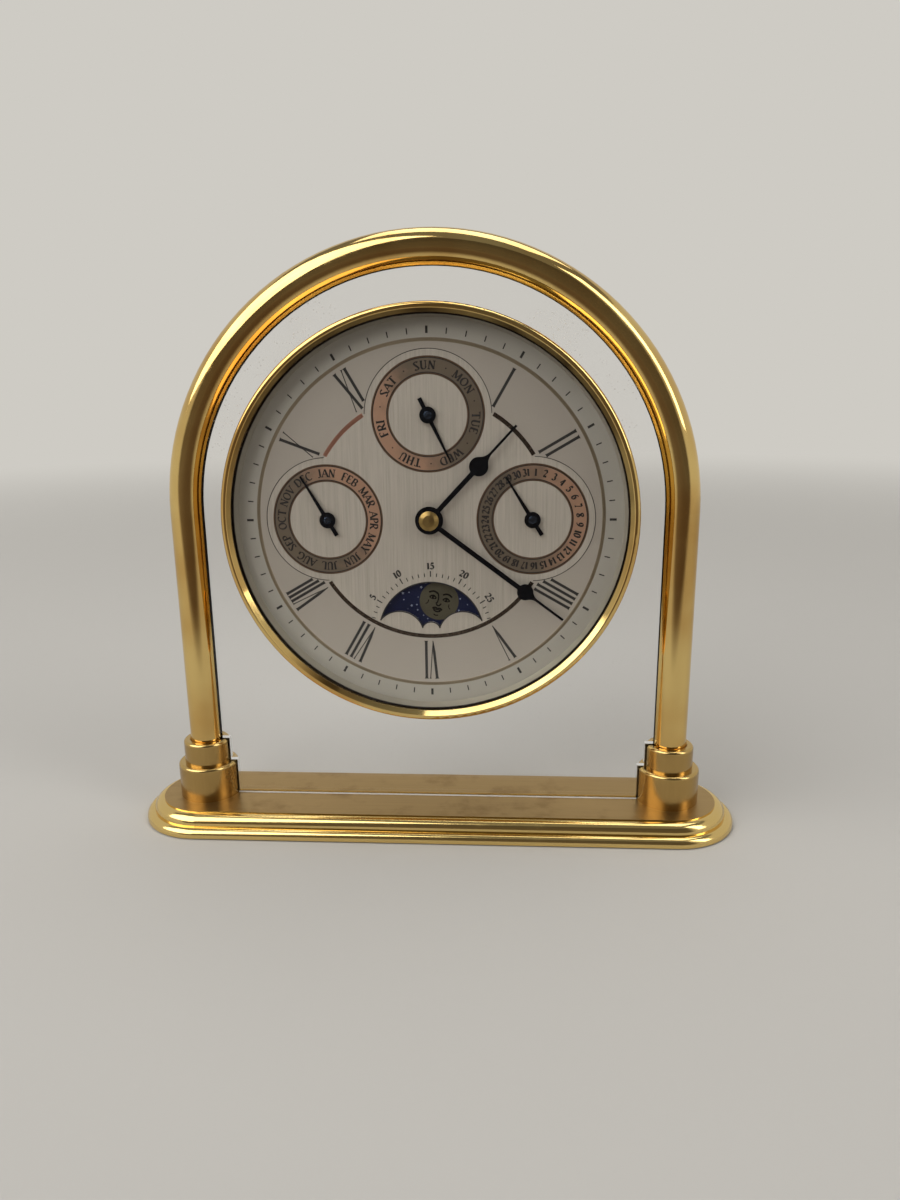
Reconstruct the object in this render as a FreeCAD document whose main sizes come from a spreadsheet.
"""Desk clock with calendar: a round clock head carried by a glass pane in a brass tube arch.

Millimetres, +Z up, the dial faces -Y.  The origin is the middle of the footprint on the table.
Angles named "clock angle" run clockwise from twelve o'clock as seen from the front.
"""
import FreeCAD, Part
import math
import os
from types import SimpleNamespace

import Sketcher

os.makedirs("parts", exist_ok=True)
DOC = FreeCAD.newDocument("desk_clock")
Vector = FreeCAD.Vector

# ---------------------------------------------------------------- driving sizes

SIZES = {
    # arch and its feet
    "arch_radius": 72.0,            # centreline of the tube, and half the distance between its legs
    "arch_centre_height": 95.9,
    "tube_diameter": 10.0,
    "tube_wall": 1.0,
    "tube_seat": 1.0,               # tube ends stand this far above the base's flat top
    "insert_length": 16.0,
    "collar_lower_diameter": 18.6,
    "collar_lower_height": 10.95,
    "collar_upper_diameter": 14.5,
    "collar_upper_height": 7.3,
    "collar_edge_round": 0.9,
    "collar_bore_gap": 0.05,
    "collar_mouth": 0.4,
    # base plate, an obround with two rounds one above the other
    "base_flat_depth": 29.0,
    "base_step_out": 0.3,
    "base_step_drop": 0.4,
    "base_upper_round": 2.8,
    "base_ledge_out": 0.5,
    "base_ledge_drop": 0.3,
    "base_lower_round": 2.0,
    "base_foot_drop": 0.6,
    "pad_thickness": 0.8,
    "pad_recess": 0.4,
    "pad_inset": 2.5,
    "pad_gap": 0.2,
    "screw_diameter": 4.0,
    "screw_gap": 0.2,
    "screw_head_diameter": 7.4,
    "screw_head_height": 2.2,
    "screw_grip": 9.0,
    # glass pane
    "pane_thickness": 3.0,
    "pane_bite": 3.0,               # how far the pane's edge passes inside the tube's inner side
    "pane_notch_gap": 0.3,
    "pane_slot_gap": 0.15,
    "groove_depth": 0.8,
    "groove_bed_gap": 0.05,
    # clock head, from the dial outwards
    "head_centre_height": 94.4,
    "dial_radius": 56.2,
    "dial_thickness": 0.8,
    "case_rim_gap": 0.3,
    "case_rim_wall": 0.9,
    "bezel_fit_gap": 0.1,
    "bezel_wall": 1.4,
    "bezel_front_round": 1.2,
    "bezel_crest_rise": 0.2,
    "bezel_crest_flat": 0.4,
    "bezel_lip_cover": 1.2,
    "bezel_lip_slope": 1.0,
    "ledge_thickness": 1.9,
    "drum_radius": 53.0,
    "drum_wall": 1.4,
    "pane_hole_gap": 0.4,
    "gasket_thickness": 0.3,
    "gasket_inset": 0.5,
    "clamp_ring_thickness": 2.2,
    "clamp_thread_gap": 0.1,
    "clamp_edge_chamfer": 0.7,
    "crystal_height": 3.8,          # clear height from the dial to the crystal
    "crystal_thickness": 1.2,
    "crystal_gasket_thickness": 0.4,
    "crystal_gasket_inset": 0.1,
    "rehaut_gap": 0.1,
    "rehaut_front_wall": 0.4,
    "rehaut_rear_wall": 1.0,
    # dial furniture
    "subdial_distance": 29.3,
    "moon_distance": 33.7,
    "moon_opening_radius": 15.4,
    "moon_hump_radius": 7.2,
    "moon_hump_offset": 9.35,
    "moon_hump_drop": 0.6,
    "moon_peak_radius": 2.8,
    "moon_peak_rise": 0.6,
    "moon_disc_radius": 16.6,
    "moon_disc_thickness": 0.5,
    "moon_disc_gap": 0.2,
    "foot_shoulder_radius": 1.6,
    "foot_pin_radius": 1.0,
    "foot_pin_length": 1.7,
    "foot_distance": 48.0,
    "dial_hole_gap": 0.3,
    "moon_seat_radius": 0.8,
    # hands
    "hand_thickness": 0.35,
    "small_hand_thickness": 0.3,
    "small_hand_gap": 0.6,
    "hour_hand_gap": 0.45,
    "minute_hand_gap": 0.4,
    "hand_nut_radius": 2.8,
    "hand_nut_thickness": 0.9,
    "hand_nut_collar": 0.3,
    "hand_nut_face_radius": 1.7,
    "hand_nut_floor": 0.3,
    "hand_nut_end_gap": 0.1,
    "hour_hand_length": 36.0,
    "hour_bulb_distance": 20.7,
    "hour_bulb_radius": 2.7,
    "hour_hub_radius": 4.0,
    "minute_hand_length": 48.0,
    "minute_bulb_distance": 34.3,
    "minute_bulb_radius": 2.35,
    "minute_hub_radius": 3.6,
    "hand_half_width": 0.7,
    "hand_tip_half_width": 0.35,
    "bulb_neck_angle": 50.0,
    "small_hand_length": 14.4,
    "small_hand_tail": 5.1,
    "small_hub_radius": 2.3,
    "small_hand_bore_radius": 0.5,
    "small_hand_half_width": 0.55,
    "small_hand_tip_half_width": 0.2,
    "small_tail_half_width": 0.6,
    # clock angles of the hands at rest
    "hour_hand_angle": 43.0,
    "minute_hand_angle": 127.0,
    "day_hand_angle": 154.0,
    "date_hand_angle": 328.0,
    "month_hand_angle": 330.0,
    # calendar plate and what it carries
    "plate_standoff": 1.1,
    "plate_thickness": 1.2,
    "plate_edge_gap": 0.3,
    "pillar_radius": 2.2,
    "pillar_distance": 46.5,
    "pillar_screw_radius": 1.0,
    "pillar_screw_head_radius": 1.8,
    "pillar_screw_head_height": 0.8,
    "pillar_screw_length": 5.4,
    "screw_end_gap": 0.5,
    "screw_hole_gap": 0.1,
    "calendar_arbor_radius": 1.0,
    "running_gap": 0.05,
    "star_front_gap": 0.3,
    "wheel_gap": 0.2,
    "wheel_thickness": 0.6,
    "star_radius": 10.2,
    "star_tooth_height": 1.6,
    "day_star_teeth": 7,
    "date_star_teeth": 31,
    "month_star_teeth": 12,
    "moon_star_teeth": 59,
    "moon_star_tooth_height": 0.8,
    "finger_star_gap": 0.3,
    "finger_half_width": 0.5,
    "drive_hub_radius": 1.5,
    "jumper_gap": 0.2,
    "jumper_post_radius": 1.1,
    "jumper_length": 9.0,
    "jumper_thickness": 0.3,
    "jumper_nose_radius": 0.45,
    # motion works
    "cannon_teeth": 12,
    "minute_wheel_teeth": 36,
    "minute_pinion_teeth": 10,
    "hour_wheel_teeth": 40,
    "hour_pinion_teeth": 20,
    "drive_wheel_teeth": 40,
    "motion_module": 0.5,
    "minute_arbor_radius": 1.2,
    "minute_arbor_tip_radius": 0.9,
    "hour_pipe_radius": 2.0,
    "hour_pipe_seat_radius": 1.6,
    "stud_radius": 0.6,
    # quartz movement
    "movement_half_width": 26.0,
    "movement_wall": 1.2,
    "movement_depth": 12.7,
    "movement_front_depth": 6.0,
    "movement_corner": 2.0,
    "movement_front_gap": 0.3,
    "movement_ear_reach": 4.4,      # the ears stand out of the movement's sides by this much
    "movement_ear_height": 18.0,
    "movement_ear_half_width": 2.5,
    "movement_screw_radius": 0.8,
    "movement_screw_head_radius": 1.5,
    "movement_screw_head_height": 1.0,
    "movement_screw_end_gap": 0.3,
    "movement_boss_radius": 2.0,
    "pivot_radius": 0.3,
    "train_arbor_radius": 0.45,
    "pivot_hole_depth": 0.7,
    "train_end_shake": 0.1,
    "pinion_overhang": 0.1,
    "centre_hub_wall": 1.0,
    "train_first_level": 0.6,       # clear space in front of the centre wheel
    "train_level_step": 1.1,
    "train_wheel_thickness": 0.5,
    "train_plate_level": 6.8,
    "train_plate_thickness": 0.8,
    "train_plate_margin": 2.2,
    "centre_wheel_teeth": 64,
    "third_wheel_teeth": 60,
    "second_wheel_teeth": 48,
    "intermediate_wheel_teeth": 40,
    "train_pinion_teeth": 8,
    "centre_module": 0.3,
    "train_module": 0.25,
    "third_direction": 30.0,
    "second_direction": 80.0,
    "intermediate_direction": 170.0,
    "rotor_direction": 150.0,
    "rotor_radius": 2.6,
    "rotor_length": 1.4,
    "stator_gap": 0.4,
    "stator_thickness": 1.0,
    "stator_set_back": 0.2,         # the stator's front lies this far behind the magnet's front
    "stator_top_margin": 1.2,
    "stator_arm_margin": 0.6,
    "stator_leg_width": 2.5,
    "coil_radius": 2.7,
    "coil_length": 13.5,
    "coil_axis_drop": 8.0,
    "coil_past_rotor": 1.0,
    "coil_core_half_height": 0.9,
    "coil_gap": 0.1,
    "bobbin_radius": 1.6,
    "bobbin_flange": 0.6,
    "board_thickness": 0.8,
    "board_width": 20.0,
    "board_height": 18.0,
    "board_inset": 1.8,
    "board_rise": 4.0,
    "board_gap": 0.1,
    "board_peg_radius": 0.8,
    "board_peg_head": 0.6,
    "board_peg_head_radius": 1.3,
    "quartz_can_radius": 0.75,
    "quartz_can_length": 6.0,
    "quartz_can_across": 5.0,
    "quartz_can_up": 4.5,
    # AAA cell and its bay
    "cell_radius": 5.25,
    "cell_length": 43.5,
    "cell_nub_length": 1.0,
    "cell_nub_radius": 1.9,
    "cell_drop": 19.0,
    "cell_front_gap": 0.25,
    "bay_gap": 0.4,
    "bay_wall": 1.0,
    "bay_window_inset": 1.0,
    "contact_thickness": 0.4,
    "contact_half_height": 4.2,
    "contact_leaf_depth": 0.64,
    # rear cover, door and knobs
    "cover_thickness": 1.5,
    "cover_gap": 0.6,
    "cover_spigot": 1.2,
    "cover_spigot_wall": 2.0,
    "cover_spigot_gap": 0.1,
    "cover_edge_chamfer": 0.5,
    "door_half_width": 23.2,
    "door_margin": 1.2,
    "door_thickness": 0.85,
    "door_gap": 0.15,
    "door_window_height": 12.0,
    "door_grip_half_width": 6.0,
    "door_grip_height": 0.8,
    "door_grip_drop": 0.8,
    "door_grip_rise": 0.5,
    "hinge_barrel_radius": 0.95,
    "hinge_pin_radius": 0.45,
    "hinge_half_length": 18.0,
    "hinge_ear_length": 2.7,
    "hinge_end_gap": 0.3,
    "hinge_drop": 0.35,             # clear height between the door's bottom edge and its barrel
    "hinge_ear_root": 0.2,
    "knob_gap": 0.4,
    "knob_thickness": 2.2,
    "knob_cap": 0.4,
    "time_knob_radius": 6.5,
    "calendar_knob_radius": 4.0,
    "knob_grip_depth": 0.4,
    "time_knob_grips": 24,
    "calendar_knob_grips": 16,
}

# a cutting tool runs this far past the face that it cuts
BEYOND = 1.0

# tooth proportions, in modules
ADDENDUM = 0.8
DEDENDUM = 1.15
ROOT_HALF_PITCH = 0.36              # half the tooth's width at its root, as a share of the pitch
TIP_HALF_PITCH = 0.10

HALF_TURN = 180.0
FULL_TURN = 360.0


class Size:
    """A size worked out from the sheet: its number now, and the expression that keeps it bound."""

    def __init__(self, number, text):
        self.number = float(number)
        self.text = text

    def __add__(self, other):
        other = sized(other)
        return Size(self.number + other.number, f"({self.text} + {other.text})")

    def __sub__(self, other):
        other = sized(other)
        return Size(self.number - other.number, f"({self.text} - {other.text})")

    def __mul__(self, other):
        other = sized(other)
        return Size(self.number * other.number, f"({self.text} * {other.text})")

    def __truediv__(self, other):
        other = sized(other)
        return Size(self.number / other.number, f"({self.text} / {other.text})")

    def __radd__(self, other):
        return sized(other) + self

    def __rsub__(self, other):
        return sized(other) - self

    def __rmul__(self, other):
        return sized(other) * self

    def __neg__(self):
        return Size(-self.number, f"(0 - {self.text})")

    def __float__(self):
        return self.number


def sized(value):
    return value if isinstance(value, Size) else Size(value, f"({float(value)})")


def sine(angle):
    return Size(math.sin(math.radians(angle.number)), f"sin({angle.text})")


def cosine(angle):
    return Size(math.cos(math.radians(angle.number)), f"cos({angle.text})")


def root(value):
    return Size(math.sqrt(value.number), f"sqrt({value.text})")


def fill_sheet():
    """Write every driving size to the sheet, and hand back each as a Size."""
    sheet = DOC.addObject("Spreadsheet::Sheet", "Sizes")
    named = {}
    for row, (name, value) in enumerate(SIZES.items(), start=1):
        sheet.set(f"A{row}", name)
        sheet.set(f"B{row}", str(value))
        sheet.setAlias(f"B{row}", name)
        named[name] = Size(value, f"Sizes.{name}")
    DOC.recompute()
    return SimpleNamespace(**named)


S = fill_sheet()

# ---------------------------------------------------------------- worked-out sizes

# heights of the stand
base_underside = S.pad_thickness - S.pad_recess
base_rounds_drop = (S.base_step_drop + S.base_upper_round + S.base_ledge_drop
                    + S.base_lower_round + S.base_foot_drop)
base_top = base_underside + base_rounds_drop
base_flat_radius = S.base_flat_depth / 2
base_radius = (base_flat_radius + S.base_step_out + S.base_upper_round
               + S.base_ledge_out + S.base_lower_round)
tube_radius = S.tube_diameter / 2
tube_bore = tube_radius - S.tube_wall
tube_end = base_top + S.tube_seat
collar_lower_top = base_top + S.collar_lower_height
collar_upper_top = collar_lower_top + S.collar_upper_height

# glass pane
pane_front = -S.pane_thickness / 2
pane_rear = S.pane_thickness / 2
pane_edge_radius = S.arch_radius - tube_radius + S.pane_bite
pane_bottom = base_top - S.groove_depth + S.groove_bed_gap

# clock head, along Y: front is negative
ledge_rear = pane_front - S.gasket_thickness
dial_rear = ledge_rear - S.ledge_thickness
dial_front = dial_rear - S.dial_thickness
crystal_rear = dial_front - S.crystal_height
crystal_front = crystal_rear - S.crystal_thickness
case_front = crystal_rear + S.crystal_gasket_thickness
small_hand_rear = dial_front - S.small_hand_gap
small_hand_front = small_hand_rear - S.small_hand_thickness
hour_hand_rear = small_hand_front - S.hour_hand_gap
hour_hand_front = hour_hand_rear - S.hand_thickness
minute_hand_rear = hour_hand_front - S.minute_hand_gap
minute_hand_front = minute_hand_rear - S.hand_thickness
nut_front = minute_hand_front - S.hand_nut_thickness
moon_disc_front = dial_rear + S.moon_disc_gap
moon_disc_rear = moon_disc_front + S.moon_disc_thickness
plate_front = dial_rear + S.plate_standoff
plate_rear = plate_front + S.plate_thickness
star_front = plate_rear + S.star_front_gap
star_rear = star_front + S.wheel_thickness
drive_front = star_rear + S.wheel_gap
drive_rear = drive_front + S.wheel_thickness
hour_wheel_front = drive_rear + S.wheel_gap
hour_wheel_rear = hour_wheel_front + S.wheel_thickness
minute_wheel_front = hour_wheel_rear + S.wheel_gap
minute_wheel_rear = minute_wheel_front + S.wheel_thickness
movement_front = minute_wheel_rear + S.movement_front_gap
movement_inside = movement_front + S.movement_wall
movement_split = movement_inside + S.movement_front_depth
movement_rear = movement_front + S.movement_depth
cover_front = movement_rear + S.cover_gap
cover_rear = cover_front + S.cover_thickness
knob_front = cover_rear + S.knob_gap
knob_rear = knob_front + S.knob_thickness
arbor_rear = knob_rear - S.knob_cap

# clock head, outwards from its axis
PILLAR_DIRECTION = 45.0             # clock angle of the first pillar, and 90 degrees on to the next
case_bore = S.dial_radius + S.case_rim_gap
case_radius = case_bore + S.case_rim_wall
bezel_bore = case_radius + S.bezel_fit_gap
bezel_radius = bezel_bore + S.bezel_wall
crystal_radius = case_radius - S.bezel_fit_gap
lip_radius = crystal_radius - S.bezel_lip_cover
drum_bore = S.drum_radius - S.drum_wall
pane_hole = S.drum_radius + S.pane_hole_gap
pillar_offset = S.pillar_distance * cosine(sized(PILLAR_DIRECTION))
movement_screw_offset = S.movement_half_width + S.movement_ear_reach / 2

# motion works: both pairs share one centre distance
motion_distance = S.motion_module * (S.cannon_teeth + S.minute_wheel_teeth) / 2
hour_module = motion_distance * 2 / (S.minute_pinion_teeth + S.hour_wheel_teeth)
drive_distance = hour_module * (S.hour_pinion_teeth + S.drive_wheel_teeth) / 2
MINUTE_WHEEL_DIRECTION = 135.0      # clock angle of the minute wheel from the centre
DRIVE_DIRECTIONS = {"day_date_drive_wheel": 45.0, "moon_month_drive_wheel": 225.0}
FOOT_DIRECTIONS = (20.0, 140.0, 220.0)      # clock angles of the dial's feet, clear of what turns

# train levels, each one pinion-and-wheel step further back
centre_level = movement_inside + S.train_first_level
third_level = centre_level + S.train_level_step
second_level = third_level + S.train_level_step
intermediate_level = second_level + S.train_level_step
rotor_level = intermediate_level + S.train_level_step
train_plate_front = movement_inside + S.train_plate_level
train_plate_rear = train_plate_front + S.train_plate_thickness
board_front = train_plate_rear + S.board_gap
board_rear = board_front + S.board_thickness

# AAA cell
cell_axis_depth = movement_inside + S.cell_radius + S.cell_front_gap
cell_bay_half_length = S.movement_half_width - S.movement_wall
hinge_axis_depth = cover_rear + S.door_gap + S.hinge_barrel_radius
door_window_bottom = -S.cell_drop - S.door_window_height / 2
door_window_top = -S.cell_drop + S.door_window_height / 2
door_bottom = door_window_bottom - S.door_margin
hinge_axis_height = door_bottom - S.hinge_barrel_radius - S.hinge_drop

# ---------------------------------------------------------------- construction helpers

NODES = []


def bind(thing, prop, size):
    thing.setExpression(prop, sized(size).text)


def place(thing, x=0, y=0, z=0):
    """Bind where a thing stands, without touching how it is turned."""
    for axis, size in zip("xyz", (x, y, z)):
        bind(thing, f"Placement.Base.{axis}", size)


def node(name, thing):
    thing.Label = name
    NODES.append(thing)
    return thing


def origin_plane(body, role):
    return next(item for item in body.Origin.OriginFeatures if item.Role == role)


class Line:
    """A straight side of an outline, up to (x, y)."""

    def __init__(self, x, y):
        self.end = (sized(x), sized(y))


class Arc:
    """A round side of an outline about a centre, up to (x, y), turning left unless told not to."""

    def __init__(self, centre, x, y, left=True):
        self.centre = (sized(centre[0]), sized(centre[1]))
        self.end = (sized(x), sized(y))
        self.left = left


def mirrored(start, sides):
    """The same outline on the other side of the vertical axis, walked back from its last point."""
    points = [start] + [side.end for side in sides]
    back = []
    for index in range(len(sides) - 1, -1, -1):
        x, y = points[index]
        side = sides[index]
        if isinstance(side, Arc):
            back.append(Arc((-side.centre[0], side.centre[1]), -x, y, side.left))
        else:
            back.append(Line(-x, y))
    return back


def numbers(point):
    return Vector(float(point[0]), float(point[1]), 0)


def arc_curve(start, side):
    """The arc's curve, which always turns left, and whether it starts at the side's start."""
    centre = numbers(side.centre)
    first, last = numbers(start) - centre, numbers(side.end) - centre
    if not side.left:
        first, last = last, first
    angle_first = math.atan2(first.y, first.x)
    angle_last = math.atan2(last.y, last.x)
    circle = Part.Circle(centre, Vector(0, 0, 1), first.Length)
    return Part.ArcOfCircle(circle, angle_first, angle_last)


def fix(sketch, geometry, position, axis, size):
    kind = "DistanceX" if axis == 0 else "DistanceY"
    index = sketch.addConstraint(
        Sketcher.Constraint(kind, -1, 1, geometry, position, float(size)))
    bind(sketch, f"Constraints[{index}]", size)


def outline_sketch(body, role, start, sides, holes=()):
    """A closed outline from start round its sides, each corner bound to its sizes, and round holes."""
    sketch = body.newObject("Sketcher::SketchObject", "Outline")
    sketch.AttachmentSupport = [(origin_plane(body, role), "")]
    sketch.MapMode = "FlatFace"
    start = (sized(start[0]), sized(start[1]))
    points = [start] + [side.end for side in sides]
    ends = []
    for point, side in zip(points, sides):
        if isinstance(side, Arc):
            index = sketch.addGeometry(arc_curve(point, side), False)
            ends.append((index, 1, 2) if side.left else (index, 2, 1))
        else:
            index = sketch.addGeometry(Part.LineSegment(numbers(point), numbers(side.end)), False)
            ends.append((index, 1, 2))
    for here, following in zip(ends, ends[1:] + ends[:1]):
        sketch.addConstraint(
            Sketcher.Constraint("Coincident", here[0], here[2], following[0], following[1]))
    for (index, first, _), point, side in zip(ends, points, sides):
        fix(sketch, index, first, 0, point[0])
        fix(sketch, index, first, 1, point[1])
        if isinstance(side, Arc):
            # the centre lies on the chord's bisector, so one of its two places fixes it
            chord = numbers(side.end) - numbers(point)
            axis = 0 if abs(chord.y) > abs(chord.x) else 1
            fix(sketch, index, 3, axis, side.centre[axis])
    for x, y, radius in holes:
        x, y = sized(x), sized(y)
        index = sketch.addGeometry(
            Part.Circle(numbers((x, y)), Vector(0, 0, 1), float(radius)), False)
        fix(sketch, index, 3, 0, x)
        fix(sketch, index, 3, 1, y)
        radius_index = sketch.addConstraint(Sketcher.Constraint("Radius", index, float(radius)))
        bind(sketch, f"Constraints[{radius_index}]", radius)
    return sketch


def turned(name, corners, upright=False, x=0, z=0):
    """A solid of revolution from (radius, height) corners, about Y, or about Z when upright."""
    body = DOC.addObject("PartDesign::Body", name)
    sides = [side if isinstance(side, (Line, Arc)) else Line(*side) for side in corners[1:]]
    sides.append(Line(*corners[0]))
    sketch = outline_sketch(body, "XZ_Plane" if upright else "XY_Plane", corners[0], sides)
    revolution = body.newObject("PartDesign::Revolution", "Turning")
    revolution.Profile = sketch
    revolution.ReferenceAxis = (sketch, ["V_Axis"])
    revolution.Angle = FULL_TURN
    place(body, x=x, z=z)
    return body


def ring(name, inner, outer, front, rear, x=0, z=None):
    """A plain ring about Y, or a disc where inner is 0."""
    z = S.head_centre_height if z is None else z
    return turned(name, [(inner, front), (outer, front), (outer, rear), (inner, rear)], x=x, z=z)


def plate(name, start, sides, front, thickness, holes=(), z=0, angle=0.0):
    """A flat plate in the X-Z plane: its front face stands at front, and it grows towards the rear."""
    body = DOC.addObject("PartDesign::Body", name)
    sketch = outline_sketch(body, "XZ_Plane", start, sides, holes)
    pad = body.newObject("PartDesign::Pad", "Thickness")
    pad.Profile = sketch
    pad.Reversed = True
    bind(pad, "Length", thickness)
    body.Placement = FreeCAD.Placement(Vector(), FreeCAD.Rotation(Vector(0, 1, 0), angle))
    place(body, y=front, z=z)
    return body


def box_outline(left, right, bottom, top):
    return (left, bottom), [Line(right, bottom), Line(right, top), Line(left, top), Line(left, bottom)]


def rod(name, radius, front, rear, x=0, z=None):
    """A cylinder along Y from front to rear."""
    cylinder = DOC.addObject("Part::Cylinder", name)
    bind(cylinder, "Radius", radius)
    bind(cylinder, "Height", rear - front)
    cylinder.Placement = FreeCAD.Placement(Vector(), FreeCAD.Rotation(Vector(1, 0, 0), -90))
    place(cylinder, x, front, S.head_centre_height if z is None else z)
    return cylinder


def post(name, radius, bottom, top, x=0, y=0):
    """A cylinder along Z from bottom to top."""
    cylinder = DOC.addObject("Part::Cylinder", name)
    bind(cylinder, "Radius", radius)
    bind(cylinder, "Height", top - bottom)
    place(cylinder, x, y, bottom)
    return cylinder


def bar(name, radius, left, right, y, z):
    """A cylinder along X from left to right."""
    cylinder = DOC.addObject("Part::Cylinder", name)
    bind(cylinder, "Radius", radius)
    bind(cylinder, "Height", right - left)
    cylinder.Placement = FreeCAD.Placement(Vector(), FreeCAD.Rotation(Vector(0, 1, 0), 90))
    place(cylinder, left, y, z)
    return cylinder


def block(name, low, high):
    """A box from its low corner to its high corner."""
    box = DOC.addObject("Part::Box", name)
    for prop, start, end in zip(("Length", "Width", "Height"), low, high):
        bind(box, prop, sized(end) - sized(start))
    place(box, *low)
    return box


def fuse(name, *shapes):
    fused = DOC.addObject("Part::MultiFuse", name)
    fused.Shapes = list(shapes)
    fused.Refine = True
    return fused


def cut(name, base, *tools):
    result = DOC.addObject("Part::Cut", name)
    result.Base = base
    result.Tool = tools[0] if len(tools) == 1 else fuse(f"{name}_tools", *tools)
    return result


def group(name, shapes):
    """Identical loose pieces that share one node."""
    compound = DOC.addObject("Part::Compound", name)
    compound.Links = list(shapes)
    return compound


def feature(name, shape, x=0, z=0, angle=0.0):
    """A piece whose shape is worked out here: it is made round the head's axis, then placed."""
    thing = DOC.addObject("Part::Feature", name)
    thing.Shape = shape
    thing.Placement = FreeCAD.Placement(Vector(), FreeCAD.Rotation(Vector(0, 1, 0), angle))
    place(thing, x, 0, S.head_centre_height + z)
    return thing


# ---------------------------------------------------------------- toothed pieces

def round_solid(radius, front, rear):
    return Part.makeCylinder(float(radius), float(rear) - float(front),
                             Vector(0, float(front), 0), Vector(0, 1, 0))


def prism(points, front, rear):
    """A solid along Y from (x, z) points."""
    corners = [Vector(x, float(front), z) for x, z in points]
    face = Part.Face(Part.makePolygon(corners + corners[:1]))
    return face.extrude(Vector(0, float(rear) - float(front), 0))


def at_angle(radius, clock_angle):
    turn = math.radians(clock_angle)
    return radius * math.sin(turn), radius * math.cos(turn)


def toothed_disc(teeth, module, front, rear):
    """A gear with straight-sided teeth, the first of them at twelve o'clock."""
    teeth = int(float(teeth))
    module = float(module)
    pitch_radius = teeth * module / 2
    root_radius = pitch_radius - DEDENDUM * module
    tip_radius = pitch_radius + ADDENDUM * module
    pitch = FULL_TURN / teeth
    points = []
    for tooth in range(teeth):
        middle = tooth * pitch
        points.append(at_angle(root_radius, middle - ROOT_HALF_PITCH * pitch))
        points.append(at_angle(tip_radius, middle - TIP_HALF_PITCH * pitch))
        points.append(at_angle(tip_radius, middle + TIP_HALF_PITCH * pitch))
        points.append(at_angle(root_radius, middle + ROOT_HALF_PITCH * pitch))
    return prism(points, front, rear)


def star_disc(teeth, tip_radius, tooth_height, front, rear):
    """A star wheel with pointed teeth, the first gap at twelve o'clock."""
    teeth = int(float(teeth))
    pitch = FULL_TURN / teeth
    points = []
    for tooth in range(teeth):
        points.append(at_angle(float(tip_radius) - float(tooth_height), tooth * pitch))
        points.append(at_angle(float(tip_radius), (tooth + 0.5) * pitch))
    return prism(points, front, rear)


def meshed_angle(direction, driver_teeth, driver_angle, teeth):
    """The clock angle that puts a gear in mesh with one whose first tooth is at driver_angle."""
    lead = driver_angle - direction
    return direction + HALF_TURN - lead * float(driver_teeth) / float(teeth) + HALF_TURN / float(teeth)


def polar(distance, direction):
    """Where a wheel stands that is this far from the centre at this clock angle, as sizes."""
    direction = sized(direction)
    return distance * sine(direction), distance * cosine(direction)


# ---------------------------------------------------------------- stand

def base_moulding():
    """The moulded edge as outline sides, from the foot up to the flat top."""
    foot_out = base_radius
    ledge_out = foot_out - S.base_lower_round
    upper_out = ledge_out - S.base_ledge_out
    step_out = upper_out - S.base_upper_round
    foot_top = base_underside + S.base_foot_drop
    ledge = foot_top + S.base_lower_round
    upper_foot = ledge + S.base_ledge_drop
    step = upper_foot + S.base_upper_round
    start = (foot_out, base_underside)
    sides = [
        Line(foot_out, foot_top),
        Arc((ledge_out, foot_top), ledge_out, ledge),
        Line(upper_out, ledge),
        Line(upper_out, upper_foot),
        Arc((step_out, upper_foot), step_out, step),
        Line(step_out - S.base_step_out, step),
        Line(step_out - S.base_step_out, base_top),
    ]
    return start, sides


def make_base():
    start, sides = base_moulding()
    ends = []
    for side in (-1, 1):
        body = turned(f"base_end_{side + 2}", [(0, base_underside), start, *sides, (0, base_top)],
                      upright=True, x=side * S.arch_radius)
        ends.append(body)
    middle = DOC.addObject("PartDesign::Body", "base_middle")
    across = sides + [Line(-sides[-1].end[0], base_top)] + mirrored(start, sides)
    sketch = outline_sketch(middle, "YZ_Plane", start, across + [Line(*start)])
    pad = middle.newObject("PartDesign::Pad", "Length")
    pad.Profile = sketch
    bind(pad, "Length", S.arch_radius * 2)
    place(middle, x=-S.arch_radius)
    blank = fuse("base_blank", middle, *ends)
    recess_radius = base_radius - S.pad_inset
    tools = [
        block("groove", (-S.arch_radius, pane_front - S.pane_slot_gap, base_top - S.groove_depth),
              (S.arch_radius, pane_rear + S.pane_slot_gap, base_top + BEYOND)),
        block("recess_middle", (-S.arch_radius, -recess_radius, 0),
              (S.arch_radius, recess_radius, S.pad_thickness)),
    ]
    for side in (-1, 1):
        x = side * S.arch_radius
        tools.append(post("recess_end", recess_radius, sized(0), S.pad_thickness, x=x))
        tools.append(post("screw_hole", S.screw_diameter / 2 + S.screw_gap, sized(0),
                          base_top + BEYOND, x=x))
        tools.append(post("head_hole", S.screw_head_diameter / 2 + S.screw_gap, sized(0),
                          S.pad_thickness + S.screw_head_height + S.pad_gap, x=x))
    # the collars stand on the flat top, so the groove stops between them
    bridges = [post("groove_end", S.collar_lower_diameter / 2, base_top - S.groove_depth, base_top,
                    x=side * S.arch_radius) for side in (-1, 1)]
    groove = cut("groove_between_collars", tools[0], *bridges)
    node("base", cut("base_cut", blank, groove, *tools[1:]))


def make_base_pad():
    radius = base_radius - S.pad_inset - S.pad_gap
    shapes = [block("pad_middle", (-S.arch_radius, -radius, 0), (S.arch_radius, radius, S.pad_thickness))]
    for side in (-1, 1):
        shapes.append(post("pad_end", radius, sized(0), S.pad_thickness, x=side * S.arch_radius))
    node("base_pad", fuse("pad", *shapes))


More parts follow.
